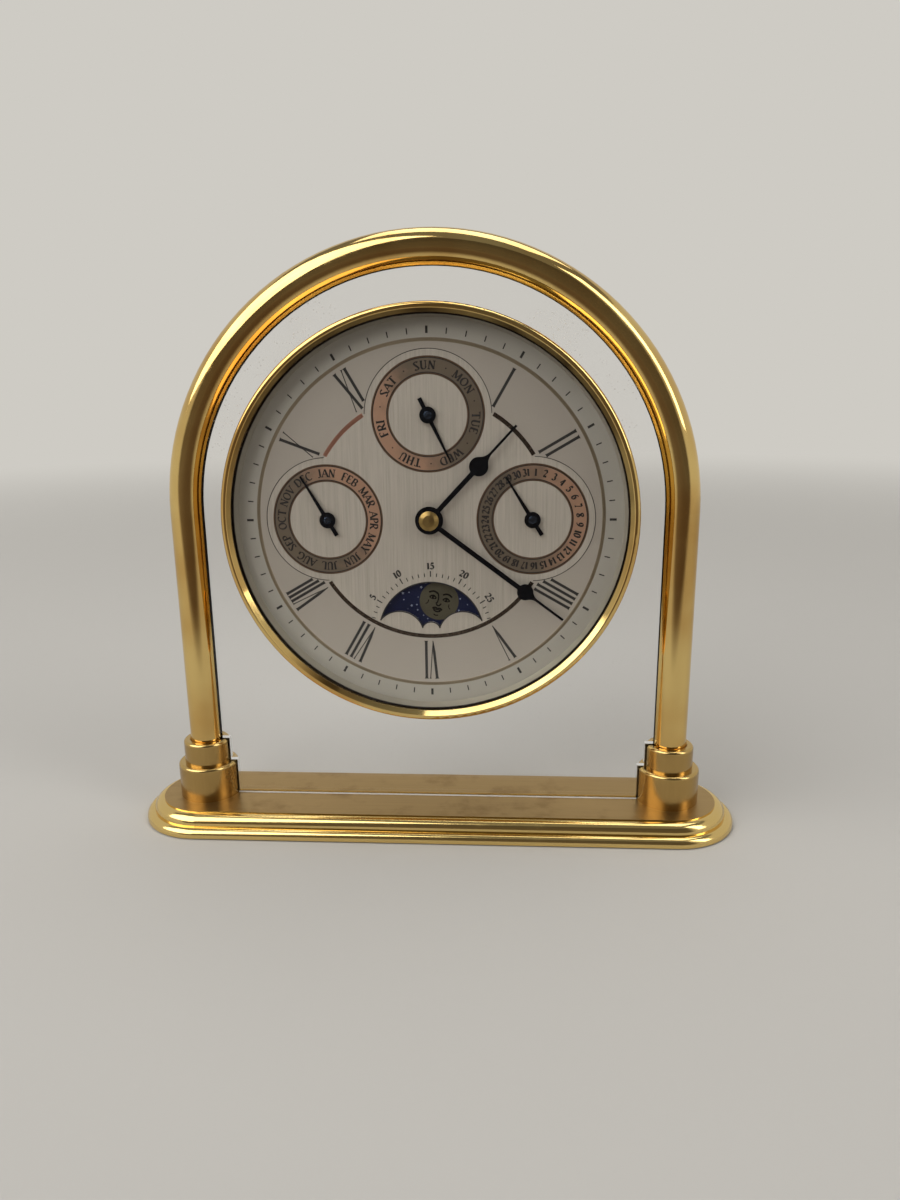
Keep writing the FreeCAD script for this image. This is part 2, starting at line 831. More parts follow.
def make_collars():
    bore = tube_radius + S.collar_bore_gap
    lower = S.collar_lower_diameter / 2
    upper = S.collar_upper_diameter / 2
    edge = S.collar_edge_round
    corners = [
        (bore, base_top),
        (lower, base_top),
        (lower, collar_lower_top - edge),
        Arc((lower - edge, collar_lower_top - edge), lower - edge, collar_lower_top),
        (upper, collar_lower_top),
        (upper, collar_upper_top - edge),
        Arc((upper - edge, collar_upper_top - edge), upper - edge, collar_upper_top),
        (bore + S.collar_mouth, collar_upper_top),
        (bore, collar_upper_top - S.collar_mouth),
    ]
    node("leg_collars", group("collars", [
        turned("collar", corners, upright=True, x=side * S.arch_radius) for side in (-1, 1)]))


def arch_solid(name, radius, bottom):
    """An inverted U of round section."""
    bend = DOC.addObject("Part::Torus", f"{name}_bend")
    bind(bend, "Radius1", S.arch_radius)
    bind(bend, "Radius2", radius)
    bend.Angle3 = HALF_TURN
    bend.Placement = FreeCAD.Placement(Vector(), FreeCAD.Rotation(Vector(1, 0, 0), 90))
    place(bend, z=S.arch_centre_height)
    legs = [post(f"{name}_leg", radius, bottom, S.arch_centre_height, x=side * S.arch_radius)
            for side in (-1, 1)]
    return fuse(name, bend, *legs)


def make_arch_tube():
    outer = arch_solid("tube_outside", tube_radius, tube_end)
    inner = arch_solid("tube_inside", tube_bore, tube_end)
    reach = pane_edge_radius + S.pane_slot_gap
    start = (-reach, collar_upper_top)
    sides = [
        Line(reach, collar_upper_top),
        Line(reach, S.arch_centre_height),
        Arc((0, S.arch_centre_height), -reach, S.arch_centre_height),
        Line(*start),
    ]
    slot = plate("pane_slot", start, sides, pane_front - S.pane_slot_gap,
                 S.pane_thickness + 2 * S.pane_slot_gap)
    node("arch_tube", cut("tube_cut", outer, inner, slot))


def make_tube_fixings():
    inserts = []
    screws = []
    hole = S.screw_diameter / 2
    shank_bottom = S.pad_thickness + S.pad_gap
    head_top = shank_bottom + S.screw_head_height
    for side in (-1, 1):
        x = side * S.arch_radius
        corners = [(hole, tube_end), (tube_bore, tube_end), (tube_bore, tube_end + S.insert_length),
                   (hole, tube_end + S.insert_length)]
        inserts.append(turned("insert", corners, upright=True, x=x))
        head = S.screw_head_diameter / 2
        tip = tube_end + S.screw_grip
        corners = [(0, shank_bottom), (head, shank_bottom), (head, head_top), (hole, head_top),
                   (hole, tip), (0, tip)]
        screws.append(turned("screw", corners, upright=True, x=x))
    node("tube_inserts", group("inserts", inserts))
    node("base_screws", group("screws", screws))


def make_pane():
    foot = S.arch_radius - S.collar_lower_diameter / 2 - S.pane_notch_gap
    waist = S.arch_radius - S.collar_upper_diameter / 2 - S.pane_notch_gap
    reach = pane_edge_radius
    lower_notch = collar_lower_top + S.pane_notch_gap
    upper_notch = collar_upper_top + S.pane_notch_gap
    start = (foot, pane_bottom)
    right = [
        Line(foot, lower_notch),
        Line(waist, lower_notch),
        Line(waist, upper_notch),
        Line(reach, upper_notch),
        Line(reach, S.arch_centre_height),
    ]
    over = Arc((0, S.arch_centre_height), -reach, S.arch_centre_height)
    sides = right + [over] + mirrored(start, right) + [Line(*start)]
    node("glass_pane", plate("pane", start, sides, pane_front, S.pane_thickness,
                             holes=[(0, S.head_centre_height, pane_hole)]))


# ---------------------------------------------------------------- case of the head

def make_case():
    z = S.head_centre_height
    inner_gasket = pane_hole + S.gasket_inset
    outer_gasket = case_radius - S.gasket_inset
    node("pane_gaskets", group("gaskets", [
        ring("front_gasket", inner_gasket, outer_gasket, ledge_rear, pane_front),
        ring("rear_gasket", inner_gasket, outer_gasket, pane_rear, pane_rear + S.gasket_thickness),
    ]))
    node("case_drum", turned("drum", [
        (case_bore, case_front),
        (case_radius, case_front),
        (case_radius, ledge_rear),
        (S.drum_radius, ledge_rear),
        (S.drum_radius, cover_front),
        (drum_bore, cover_front),
        (drum_bore, dial_rear),
        (case_bore, dial_rear),
    ], z=z))
    clamp_front = pane_rear + S.gasket_thickness
    clamp_rear = clamp_front + S.clamp_ring_thickness
    clamp_bore = S.drum_radius + S.clamp_thread_gap
    node("clamp_ring", turned("clamp", [
        (clamp_bore, clamp_front),
        (case_radius, clamp_front),
        (case_radius, clamp_rear - S.clamp_edge_chamfer),
        (case_radius - S.clamp_edge_chamfer, clamp_rear),
        (clamp_bore, clamp_rear),
    ], z=z))
    crest = crystal_front - S.bezel_front_round - S.bezel_crest_rise
    round_start = crest + S.bezel_front_round
    crest_radius = bezel_radius - S.bezel_front_round
    node("bezel", turned("bezel_ring", [
        (bezel_bore, ledge_rear),
        (bezel_radius, ledge_rear),
        (bezel_radius, round_start),
        Arc((crest_radius, round_start), crest_radius, crest, left=False),
        (crest_radius - S.bezel_crest_flat, crest),
        (lip_radius, crest + S.bezel_lip_slope),
        (lip_radius, crystal_front),
        (bezel_bore, crystal_front),
    ], z=z))
    node("crystal", ring("crystal_disc", 0, crystal_radius, crystal_front, crystal_rear))
    node("crystal_gasket", ring("crystal_seal", case_bore + S.crystal_gasket_inset,
                                case_radius - S.crystal_gasket_inset, crystal_rear, case_front))
    node("rehaut_ring", turned("rehaut", [
        (S.dial_radius - S.rehaut_front_wall, crystal_rear + S.rehaut_gap),
        (S.dial_radius, crystal_rear + S.rehaut_gap),
        (S.dial_radius, dial_front),
        (S.dial_radius - S.rehaut_rear_wall, dial_front),
    ], z=z))


# ---------------------------------------------------------------- dial and calendar plate

def calendar_places():
    """Where the three small hands and the moon turn, from the head's centre."""
    return {
        "day": (sized(0), S.subdial_distance),
        "date": (S.subdial_distance, sized(0)),
        "month": (-S.subdial_distance, sized(0)),
        "moon": (sized(0), -S.moon_distance),
    }


def foot_places():
    """Where the dial's three feet stand, clear of the moon disc and the star wheels."""
    return [polar(S.foot_distance, direction) for direction in FOOT_DIRECTIONS]


def corner_places(offset, height=None):
    height = offset if height is None else height
    return [(across * offset, up * height) for across in (-1, 1) for up in (-1, 1)]


def make_dial():
    z = S.head_centre_height
    blank = ring("dial_blank", 0, S.dial_radius, dial_front, dial_rear)
    before, behind = dial_front - BEYOND, dial_rear + BEYOND
    tools = [rod("dial_centre_hole", S.hour_pipe_radius + S.dial_hole_gap, before, behind)]
    for name in ("day", "date", "month"):
        x, up = calendar_places()[name]
        tools.append(rod(f"dial_{name}_hole", S.calendar_arbor_radius + S.dial_hole_gap,
                         before, behind, x=x, z=z + up))
    moon_z = z - S.moon_distance
    sky = rod("moon_opening", S.moon_opening_radius, before, behind, z=moon_z)
    above = block("moon_opening_top",
                  (-S.moon_opening_radius, before, moon_z + S.moon_peak_rise),
                  (S.moon_opening_radius, behind, moon_z + S.moon_opening_radius + BEYOND))
    half_sky = DOC.addObject("Part::MultiCommon", "moon_opening_half")
    half_sky.Shapes = [sky, above]
    humps = [rod("moon_hump", S.moon_hump_radius, before, behind,
                 x=side * S.moon_hump_offset, z=moon_z - S.moon_hump_drop) for side in (-1, 1)]
    humps.append(rod("moon_peak", S.moon_peak_radius, before, behind, z=moon_z + S.moon_peak_rise))
    tools.append(cut("moon_window", half_sky, *humps))
    face = cut("dial_cut", blank, *tools)
    feet = []
    for x, up in foot_places():
        feet.append(rod("dial_foot", S.foot_shoulder_radius, dial_rear, plate_front, x=x, z=z + up))
        feet.append(rod("dial_foot_pin", S.foot_pin_radius, dial_rear,
                        plate_front + S.foot_pin_length, x=x, z=z + up))
    node("dial_plate", fuse("dial", face, *feet))


def make_calendar_plate():
    z = S.head_centre_height
    blank = ring("plate_blank", 0, drum_bore - S.plate_edge_gap, plate_front, plate_rear)
    bosses = [rod("movement_boss", S.movement_boss_radius, plate_rear, movement_front, x=x, z=z + up)
              for x, up in corner_places(movement_screw_offset, S.movement_ear_height)]
    minute_x, minute_z = polar(motion_distance, MINUTE_WHEEL_DIRECTION)
    studs = [rod("minute_stud", S.stud_radius, plate_rear, minute_wheel_rear, x=minute_x, z=z + minute_z)]
    for direction in DRIVE_DIRECTIONS.values():
        x, up = polar(drive_distance, direction)
        studs.append(rod("drive_stud", S.stud_radius, plate_rear, drive_rear, x=x, z=z + up))
    before, behind = plate_front - BEYOND, plate_rear + BEYOND
    tools = [rod("hour_pipe_hole", S.hour_pipe_radius + S.running_gap, before, behind)]
    for x, up in calendar_places().values():
        tools.append(rod("arbor_hole", S.calendar_arbor_radius + S.running_gap, before, behind,
                         x=x, z=z + up))
    for x, up in corner_places(movement_screw_offset, S.movement_ear_height):
        tools.append(rod("boss_thread", S.movement_screw_radius, before, movement_front + BEYOND,
                         x=x, z=z + up))
    for x, up in corner_places(pillar_offset):
        tools.append(rod("pillar_hole", S.pillar_screw_radius + S.screw_hole_gap, before, behind,
                         x=x, z=z + up))
    for x, up in foot_places():
        tools.append(rod("foot_hole", S.foot_pin_radius + S.screw_hole_gap, before, behind,
                         x=x, z=z + up))
    node("calendar_plate", cut("plate_cut", fuse("plate_solid", blank, *bosses, *studs), *tools))


def make_pillars():
    z = S.head_centre_height
    pillars = []
    screws = []
    for x, up in corner_places(pillar_offset):
        blank = rod("pillar_blank", S.pillar_radius, plate_rear, cover_front, x=x, z=z + up)
        front_hole = rod("pillar_front_hole", S.pillar_screw_radius, plate_rear - BEYOND,
                         plate_front + S.pillar_screw_length + S.screw_end_gap, x=x, z=z + up)
        rear_hole = rod("pillar_rear_hole", S.pillar_screw_radius,
                        cover_rear - S.pillar_screw_length - S.screw_end_gap, cover_front + BEYOND,
                        x=x, z=z + up)
        pillars.append(cut("pillar", blank, front_hole, rear_hole))
        for seat, inward in ((plate_front, 1), (cover_rear, -1)):
            head = seat - inward * S.pillar_screw_head_height
            tip = seat + inward * S.pillar_screw_length
            screws.append(turned("pillar_screw", [
                (0, head),
                (S.pillar_screw_head_radius, head),
                (S.pillar_screw_head_radius, seat),
                (S.pillar_screw_radius, seat),
                (S.pillar_screw_radius, tip),
                (0, tip),
            ], x=x, z=z + up))
    node("case_pillars", group("pillars", pillars))
    node("case_screws", group("pillar_screws", screws))


# ---------------------------------------------------------------- hands

def hand_sides(hub, half_width, tip_half_width, length, tail=None, bulb=None):
    """The right side of a hand that points up: tail, hub, shaft, pear and tip, from bottom to top."""
    hub_rise = root(hub * hub - half_width * half_width)
    if tail is None:
        start = (sized(0), -hub)
        sides = [Arc((0, 0), half_width, hub_rise)]
    else:
        tail_half_width, tail_length = tail
        start = (tail_half_width, -tail_length)
        sides = [Line(half_width, -hub_rise), Arc((0, 0), half_width, hub_rise)]
    if bulb is not None:
        distance, radius = bulb
        angle = S.bulb_neck_angle
        # the neck is an arc that leaves the pear smoothly and ends upright at the tip's width
        neck = (radius * cosine(angle) - tip_half_width) / (1 - cosine(angle))
        neck_x = (radius + neck) * cosine(angle)
        neck_z = distance + (radius + neck) * sine(angle)
        sides += [
            Line(half_width, distance - root(radius * radius - half_width * half_width)),
            Arc((0, distance), radius * cosine(angle), distance + radius * sine(angle)),
            Arc((neck_x, neck_z), tip_half_width, neck_z, left=False),
        ]
    sides.append(Line(tip_half_width, length))
    return start, sides


def make_hand(name, front, thickness, bore, angle, x=0, z=0, **shape):
    start, right = hand_sides(**shape)
    left = mirrored(start, right)
    tip = Line(-right[-1].end[0], right[-1].end[1])
    sides = right + [tip] + left
    if "tail" in shape:
        sides.append(Line(*start))
    body = plate(name, start, sides, front, thickness, holes=[(0, 0, bore)], angle=float(angle))
    place(body, x, front, S.head_centre_height + z)
    return node(name, body)


def make_hands():
    make_hand("minute_hand", minute_hand_front, S.hand_thickness, S.minute_arbor_tip_radius,
              S.minute_hand_angle, hub=S.minute_hub_radius, half_width=S.hand_half_width,
              tip_half_width=S.hand_tip_half_width, length=S.minute_hand_length,
              bulb=(S.minute_bulb_distance, S.minute_bulb_radius))
    make_hand("hour_hand", hour_hand_front, S.hand_thickness, S.hour_pipe_seat_radius,
              S.hour_hand_angle, hub=S.hour_hub_radius, half_width=S.hand_half_width,
              tip_half_width=S.hand_tip_half_width, length=S.hour_hand_length,
              bulb=(S.hour_bulb_distance, S.hour_bulb_radius))
    angles = {"day": S.day_hand_angle, "date": S.date_hand_angle, "month": S.month_hand_angle}
    for name, angle in angles.items():
        x, up = calendar_places()[name]
        make_hand(f"{name}_hand", small_hand_front, S.small_hand_thickness,
                  S.small_hand_bore_radius, angle, x=x, z=up, hub=S.small_hub_radius,
                  half_width=S.small_hand_half_width, tip_half_width=S.small_hand_tip_half_width,
                  length=S.small_hand_length, tail=(S.small_tail_half_width, S.small_hand_tail))
    node("hand_nut", turned("nut", [
        (S.minute_arbor_tip_radius, minute_hand_front),
        (S.minute_arbor_tip_radius, nut_front + S.hand_nut_floor),
        (0, nut_front + S.hand_nut_floor),
        (0, nut_front),
        (S.hand_nut_face_radius, nut_front),
        (S.hand_nut_radius, minute_hand_front - S.hand_nut_collar),
        (S.hand_nut_radius, minute_hand_front),
    ], z=S.head_centre_height))


# ---------------------------------------------------------------- calendar wheels

def calendar_arbor(front, front_radius, shoulder, rear):
    """A calendar arbor: a thin seat for its hand or disc in front of the shoulder, then a stem."""
    seat = round_solid(front_radius, front, shoulder)
    return seat.fuse(round_solid(S.calendar_arbor_radius, shoulder, rear))


def drive_reach():
    """How far a drive wheel's finger reaches, set by the day star that it passes."""
    x, up = polar(drive_distance, DRIVE_DIRECTIONS["day_date_drive_wheel"])
    star_x, star_z = calendar_places()["day"]
    apart = math.hypot(float(star_x - x), float(star_z - up))
    return apart - float(S.star_radius) - float(S.finger_star_gap)


def moon_star_radius():
    """The moon's star is as large as leaves its finger the same gap as the others have."""
    x, up = polar(drive_distance, DRIVE_DIRECTIONS["moon_month_drive_wheel"])
    star_x, star_z = calendar_places()["moon"]
    apart = math.hypot(float(star_x - x), float(star_z - up))
    return apart - drive_reach() - float(S.finger_star_gap)


def make_star_wheels():
    teeth = {"day": S.day_star_teeth, "date": S.date_star_teeth, "month": S.month_star_teeth}
    for name, count in teeth.items():
        x, up = calendar_places()[name]
        star = star_disc(count, S.star_radius, S.star_tooth_height, star_front, star_rear)
        arbor = calendar_arbor(small_hand_front, S.small_hand_bore_radius, small_hand_rear, arbor_rear)
        node(f"{name}_star_wheel", feature(name, star.fuse(arbor).removeSplitter(), x=x, z=up))
    x, up = calendar_places()["moon"]
    star = star_disc(S.moon_star_teeth, moon_star_radius(), S.moon_star_tooth_height,
                     star_front, star_rear)
    arbor = calendar_arbor(moon_disc_front, S.moon_seat_radius, moon_disc_rear, arbor_rear)
    node("moon_star_wheel", feature("moon", star.fuse(arbor).removeSplitter(), x=x, z=up))
    node("moon_disc", ring("moon_face", S.moon_seat_radius, S.moon_disc_radius,
                           moon_disc_front, moon_disc_rear, x=x, z=S.head_centre_height + up))


def make_jumpers():
    """One leaf jumper by each star wheel, on the side away from the centre."""
    jumpers = []
    outward = {"day": 0.0, "date": 90.0, "month": 270.0, "moon": 180.0}
    radii = {"day": S.star_radius, "date": S.star_radius, "month": S.star_radius,
             "moon": sized(moon_star_radius())}
    for name, direction in outward.items():
        x, up = calendar_places()[name]
        reach = float(radii[name]) + float(S.jumper_gap)
        thick = float(S.jumper_thickness)
        nose_radius = float(S.jumper_nose_radius)
        post_radius = float(S.jumper_post_radius)
        post_z = reach + post_radius
        length = float(S.jumper_length)
        stem = Part.makeCylinder(post_radius, float(star_rear) - float(plate_rear),
                                 Vector(-length, float(plate_rear), post_z), Vector(0, 1, 0))
        leaf = prism([(-length, reach), (0, reach), (0, reach + thick), (-length, reach + thick)],
                     star_front, star_rear)
        nose = Part.makeCylinder(nose_radius, float(S.wheel_thickness),
                                 Vector(0, float(star_front), reach + nose_radius), Vector(0, 1, 0))
        shape = stem.fuse([leaf, nose]).removeSplitter()
        jumpers.append(feature(f"{name}_jumper", shape, x=x, z=up, angle=direction))
    node("calendar_jumpers", group("jumpers", jumpers))


def make_drive_wheels(hour_angle):
    """The two 24-hour wheels, each with a finger that passes the star wheels."""
    reach = drive_reach()
    half = float(S.finger_half_width)
    for name, direction in DRIVE_DIRECTIONS.items():
        wheel = toothed_disc(S.drive_wheel_teeth, hour_module, drive_front, drive_rear)
        hub = round_solid(S.drive_hub_radius, star_front, drive_front)
        finger = prism([(-half, 0), (half, 0), (half, reach - half), (0, reach), (-half, reach - half)],
                       star_front, star_rear)
        bore = round_solid(S.stud_radius + S.running_gap, star_front - BEYOND, drive_rear + BEYOND)
        shape = wheel.fuse([hub, finger]).cut(bore).removeSplitter()
        x, up = polar(drive_distance, direction)
        angle = meshed_angle(direction, S.hour_pinion_teeth, hour_angle, S.drive_wheel_teeth)
        node(name, feature(f"{name}_shape", shape, x=x, z=up, angle=angle))


# ---------------------------------------------------------------- motion works

def make_motion_works():
    arbor_tip = nut_front + S.hand_nut_floor + S.hand_nut_end_gap
    arbor = round_solid(S.minute_arbor_tip_radius, arbor_tip, minute_hand_rear)
    arbor = arbor.fuse(round_solid(S.minute_arbor_radius, minute_hand_rear, arbor_rear))
    cannon = toothed_disc(S.cannon_teeth, S.motion_module, minute_wheel_front, minute_wheel_rear)
    node("minute_arbor", feature("minute", arbor.fuse(cannon).removeSplitter()))

    wheel_angle = meshed_angle(MINUTE_WHEEL_DIRECTION, S.cannon_teeth, 0.0, S.minute_wheel_teeth)
    wheel = toothed_disc(S.minute_wheel_teeth, S.motion_module, minute_wheel_front, minute_wheel_rear)
    pinion = toothed_disc(S.minute_pinion_teeth, hour_module, hour_wheel_front, minute_wheel_front)
    bore = round_solid(S.stud_radius + S.running_gap, hour_wheel_front - BEYOND,
                       minute_wheel_rear + BEYOND)
    x, up = polar(motion_distance, MINUTE_WHEEL_DIRECTION)
    shape = wheel.fuse(pinion).cut(bore).removeSplitter()
    node("minute_wheel", feature("minute_gear", shape, x=x, z=up, angle=wheel_angle))

    # the hour wheel's first tooth is turned to meet the minute pinion, its own pinion turns with it
    hour_angle = meshed_angle(MINUTE_WHEEL_DIRECTION + HALF_TURN, S.minute_pinion_teeth, wheel_angle,
                              S.hour_wheel_teeth)
    pipe = round_solid(S.hour_pipe_seat_radius, hour_hand_front, hour_hand_rear)
    pipe = pipe.fuse(round_solid(S.hour_pipe_radius, hour_hand_rear, hour_wheel_rear))
    gears = [
        toothed_disc(S.hour_pinion_teeth, hour_module, drive_front, hour_wheel_front),
        toothed_disc(S.hour_wheel_teeth, hour_module, hour_wheel_front, hour_wheel_rear),
    ]
    bore = round_solid(S.minute_arbor_radius + S.running_gap, hour_hand_front - BEYOND,
                       hour_wheel_rear + BEYOND)
    shape = pipe.fuse(gears).cut(bore).removeSplitter()
    node("hour_wheel", feature("hour", shape, angle=hour_angle))
    make_drive_wheels(hour_angle)


# ---------------------------------------------------------------- quartz movement

def chamfered_square(half, corner):
    """A square outline with its four corners cut off."""
    near = half - corner
    start = (near, -half)
    sides = [Line(half, -near), Line(half, near), Line(near, half), Line(-near, half),
             Line(-half, near), Line(-half, -near), Line(-near, -half), Line(*start)]
    return start, sides


def train_places():
    """Where each wheel of the train stands, each from the one that it meshes with."""
    train_pair = S.train_module / 2
    places = {"centre": (sized(0), sized(0))}
    steps = (
        ("third", "centre", S.centre_module / 2 * (S.centre_wheel_teeth + S.train_pinion_teeth),
         S.third_direction),
        ("second", "third", train_pair * (S.third_wheel_teeth + S.train_pinion_teeth),
         S.second_direction),
        ("intermediate", "second", train_pair * (S.second_wheel_teeth + S.train_pinion_teeth),
         S.intermediate_direction),
        ("rotor", "intermediate",
         train_pair * (S.intermediate_wheel_teeth + S.train_pinion_teeth), S.rotor_direction),
    )
    for name, beside, distance, direction in steps:
        x, up = polar(distance, direction)
        places[name] = (places[beside][0] + x, places[beside][1] + up)
    return places


def make_movement_shells():
    z = S.head_centre_height
    half = S.movement_half_width
    wall = S.movement_wall
    ear_end = half + S.movement_ear_reach
    ears = [plate("front_ears", *box_outline(-ear_end, ear_end, side * S.movement_ear_height
                                             - S.movement_ear_half_width,
                                             side * S.movement_ear_height
                                             + S.movement_ear_half_width),
                  movement_front, wall, z=z) for side in (-1, 1)]
    outer = plate("front_outer", *chamfered_square(half, S.movement_corner), movement_front,
                  wall + S.movement_front_depth, z=z)
    inner = plate("front_inner", *chamfered_square(half - wall, S.movement_corner - wall / 2),
                  movement_inside, S.movement_front_depth + BEYOND, z=z)
    tools = [inner, rod("front_arbor_hole", S.minute_arbor_radius + S.running_gap,
                        movement_front - BEYOND, movement_inside + BEYOND)]
    for name, (x, up) in train_places().items():
        if name != "centre":
            tools.append(rod("front_pivot_hole", S.pivot_radius + S.running_gap,
                             movement_inside - S.pivot_hole_depth, movement_inside + BEYOND,
                             x=x, z=z + up))
    for x, up in corner_places(movement_screw_offset, S.movement_ear_height):
        tools.append(rod("front_screw_hole", S.movement_screw_radius + S.screw_hole_gap,
                         movement_front - BEYOND, movement_inside + BEYOND, x=x, z=z + up))
    node("movement_front_shell", cut("front_shell_cut", fuse("front_shell", outer, *ears), *tools))

    outer = plate("rear_outer", *chamfered_square(half, S.movement_corner), movement_split,
                  movement_rear - movement_split, z=z)
    inner = plate("rear_inner", *chamfered_square(half - wall, S.movement_corner - wall / 2),
                  movement_split - BEYOND, movement_rear - wall - movement_split + BEYOND, z=z)
    bay_edge = S.cell_radius + S.bay_gap
    bay_wall = plate("bay_wall", *box_outline(-(half - wall), half - wall,
                                              -S.cell_drop + bay_edge,
                                              -S.cell_drop + bay_edge + S.bay_wall),
                     movement_split, movement_rear - wall - movement_split, z=z)
    window_half = half - wall - S.bay_window_inset
    window = block("bay_window",
                   (-window_half, movement_rear - wall - BEYOND, z - S.cell_drop - bay_edge),
                   (window_half, movement_rear + BEYOND, z - S.cell_drop + bay_edge))
    shell = fuse("rear_shell", cut("rear_hollow", outer, inner), bay_wall)
    hole = rod("rear_arbor_hole", S.minute_arbor_radius + S.running_gap,
               movement_rear - wall - BEYOND, movement_rear + BEYOND)
    node("movement_rear_shell", cut("rear_shell_cut", shell, window, hole))

    screws = []
    tip = plate_rear + S.movement_screw_end_gap
    head = movement_inside + S.movement_screw_head_height
    for x, up in corner_places(movement_screw_offset, S.movement_ear_height):
        screws.append(turned("movement_screw", [
            (0, tip),
            (S.movement_screw_radius, tip),
            (S.movement_screw_radius, movement_inside),
            (S.movement_screw_head_radius, movement_inside),
            (S.movement_screw_head_radius, head),
            (0, head),
        ], x=x, z=z + up))
    node("movement_screws", group("shell_screws", screws))


def train_arbor():
    """An arbor with a pivot at each end, from the front shell to the train plate."""
    arbor = round_solid(S.train_arbor_radius, movement_inside + S.train_end_shake,
                        train_plate_front - S.train_end_shake)
    return arbor.fuse(round_solid(
        S.pivot_radius, movement_inside - S.pivot_hole_depth + S.train_end_shake, train_plate_rear))


def train_pinion(module, level):
    """A pinion a little longer than the thickness of the wheel that it meets at this level."""
    return toothed_disc(S.train_pinion_teeth, module, level - S.pinion_overhang,
                        level + S.train_wheel_thickness + S.pinion_overhang)


def wheel_on_arbor(wheel_teeth, wheel_level, pinion_level, pinion_module):
    """A train wheel and its pinion on their arbor."""
    wheel = toothed_disc(wheel_teeth, S.train_module, wheel_level, wheel_level + S.train_wheel_thickness)
    return wheel.fuse([train_pinion(pinion_module, pinion_level), train_arbor()]).removeSplitter()


def make_train():
    places = train_places()
    centre = toothed_disc(S.centre_wheel_teeth, S.centre_module, centre_level,
                          centre_level + S.train_wheel_thickness)
    hub_rear = centre_level + S.train_wheel_thickness * 2
    hub = round_solid(S.minute_arbor_radius + S.centre_hub_wall, centre_level, hub_rear)
    bore = round_solid(S.minute_arbor_radius + S.running_gap, centre_level - BEYOND, hub_rear + BEYOND)
    node("centre_wheel", feature("centre", centre.fuse(hub).cut(bore).removeSplitter()))

    third_angle = meshed_angle(float(S.third_direction), S.centre_wheel_teeth, 0.0, S.train_pinion_teeth)
    third = wheel_on_arbor(S.third_wheel_teeth, third_level, centre_level, S.centre_module)
    node("third_wheel", feature("third", third, *places["third"], angle=third_angle))

    second_angle = meshed_angle(float(S.second_direction), S.third_wheel_teeth, third_angle,
                                S.train_pinion_teeth)
    second = wheel_on_arbor(S.second_wheel_teeth, second_level, third_level, S.train_module)
    node("second_wheel", feature("second", second, *places["second"], angle=second_angle))

    intermediate_angle = meshed_angle(float(S.intermediate_direction), S.second_wheel_teeth,
                                      second_angle, S.train_pinion_teeth)
    intermediate = wheel_on_arbor(S.intermediate_wheel_teeth, intermediate_level, second_level,
                                  S.train_module)
    node("intermediate_wheel", feature("intermediate", intermediate, *places["intermediate"],
                                       angle=intermediate_angle))

    rotor_angle = meshed_angle(float(S.rotor_direction), S.intermediate_wheel_teeth,
                               intermediate_angle, S.train_pinion_teeth)
    magnet = round_solid(S.rotor_radius, rotor_level, rotor_level + S.rotor_length)
    pinion = train_pinion(S.train_module, intermediate_level)
    rotor = magnet.fuse([pinion, train_arbor()]).removeSplitter()
    node("rotor", feature("rotor_shape", rotor, *places["rotor"], angle=rotor_angle))


def make_train_plate():
    z = S.head_centre_height
    half = S.movement_half_width - S.movement_wall
    places = train_places()
    bottom = places["rotor"][1] - S.train_plate_margin
    near = half - S.movement_corner
    start = (half, bottom)
    sides = [Line(half, near), Line(near, half), Line(-near, half), Line(-half, near),
             Line(-half, bottom), Line(*start)]
    holes = [(x, up, S.pivot_radius + S.running_gap) for name, (x, up) in places.items()
             if name != "centre"]
    holes.append((0, 0, S.minute_arbor_radius + S.dial_hole_gap))
    bridge = plate("bridge", start, sides, train_plate_front, S.train_plate_thickness, holes=holes, z=z)
    left = -half + S.board_inset
    low = S.board_rise
    peg_places = [(left + S.board_inset, low + S.board_inset),
                  (left + S.board_width - S.board_inset, low + S.board_height - S.board_inset)]
    pegs = []
    for x, up in peg_places:
        pegs.append(rod("board_peg", S.board_peg_radius, train_plate_front,
                        board_rear + S.board_peg_head, x=x, z=z + up))
        pegs.append(rod("board_peg_head", S.board_peg_head_radius, board_rear,
                        board_rear + S.board_peg_head, x=x, z=z + up))
    node("train_plate", fuse("train_plate_solid", bridge, *pegs))
    start, sides = box_outline(left, left + S.board_width, low, low + S.board_height)
    node("circuit_board", plate("board", start, sides, board_front, S.board_thickness,
                                holes=[(x, up, S.board_peg_radius) for x, up in peg_places], z=z))
    can_left = left + S.quartz_can_across
    node("quartz_resonator", bar("quartz_can", S.quartz_can_radius, can_left,
                                 can_left + S.quartz_can_length, board_rear + S.quartz_can_radius,
                                 z + low + S.quartz_can_up))


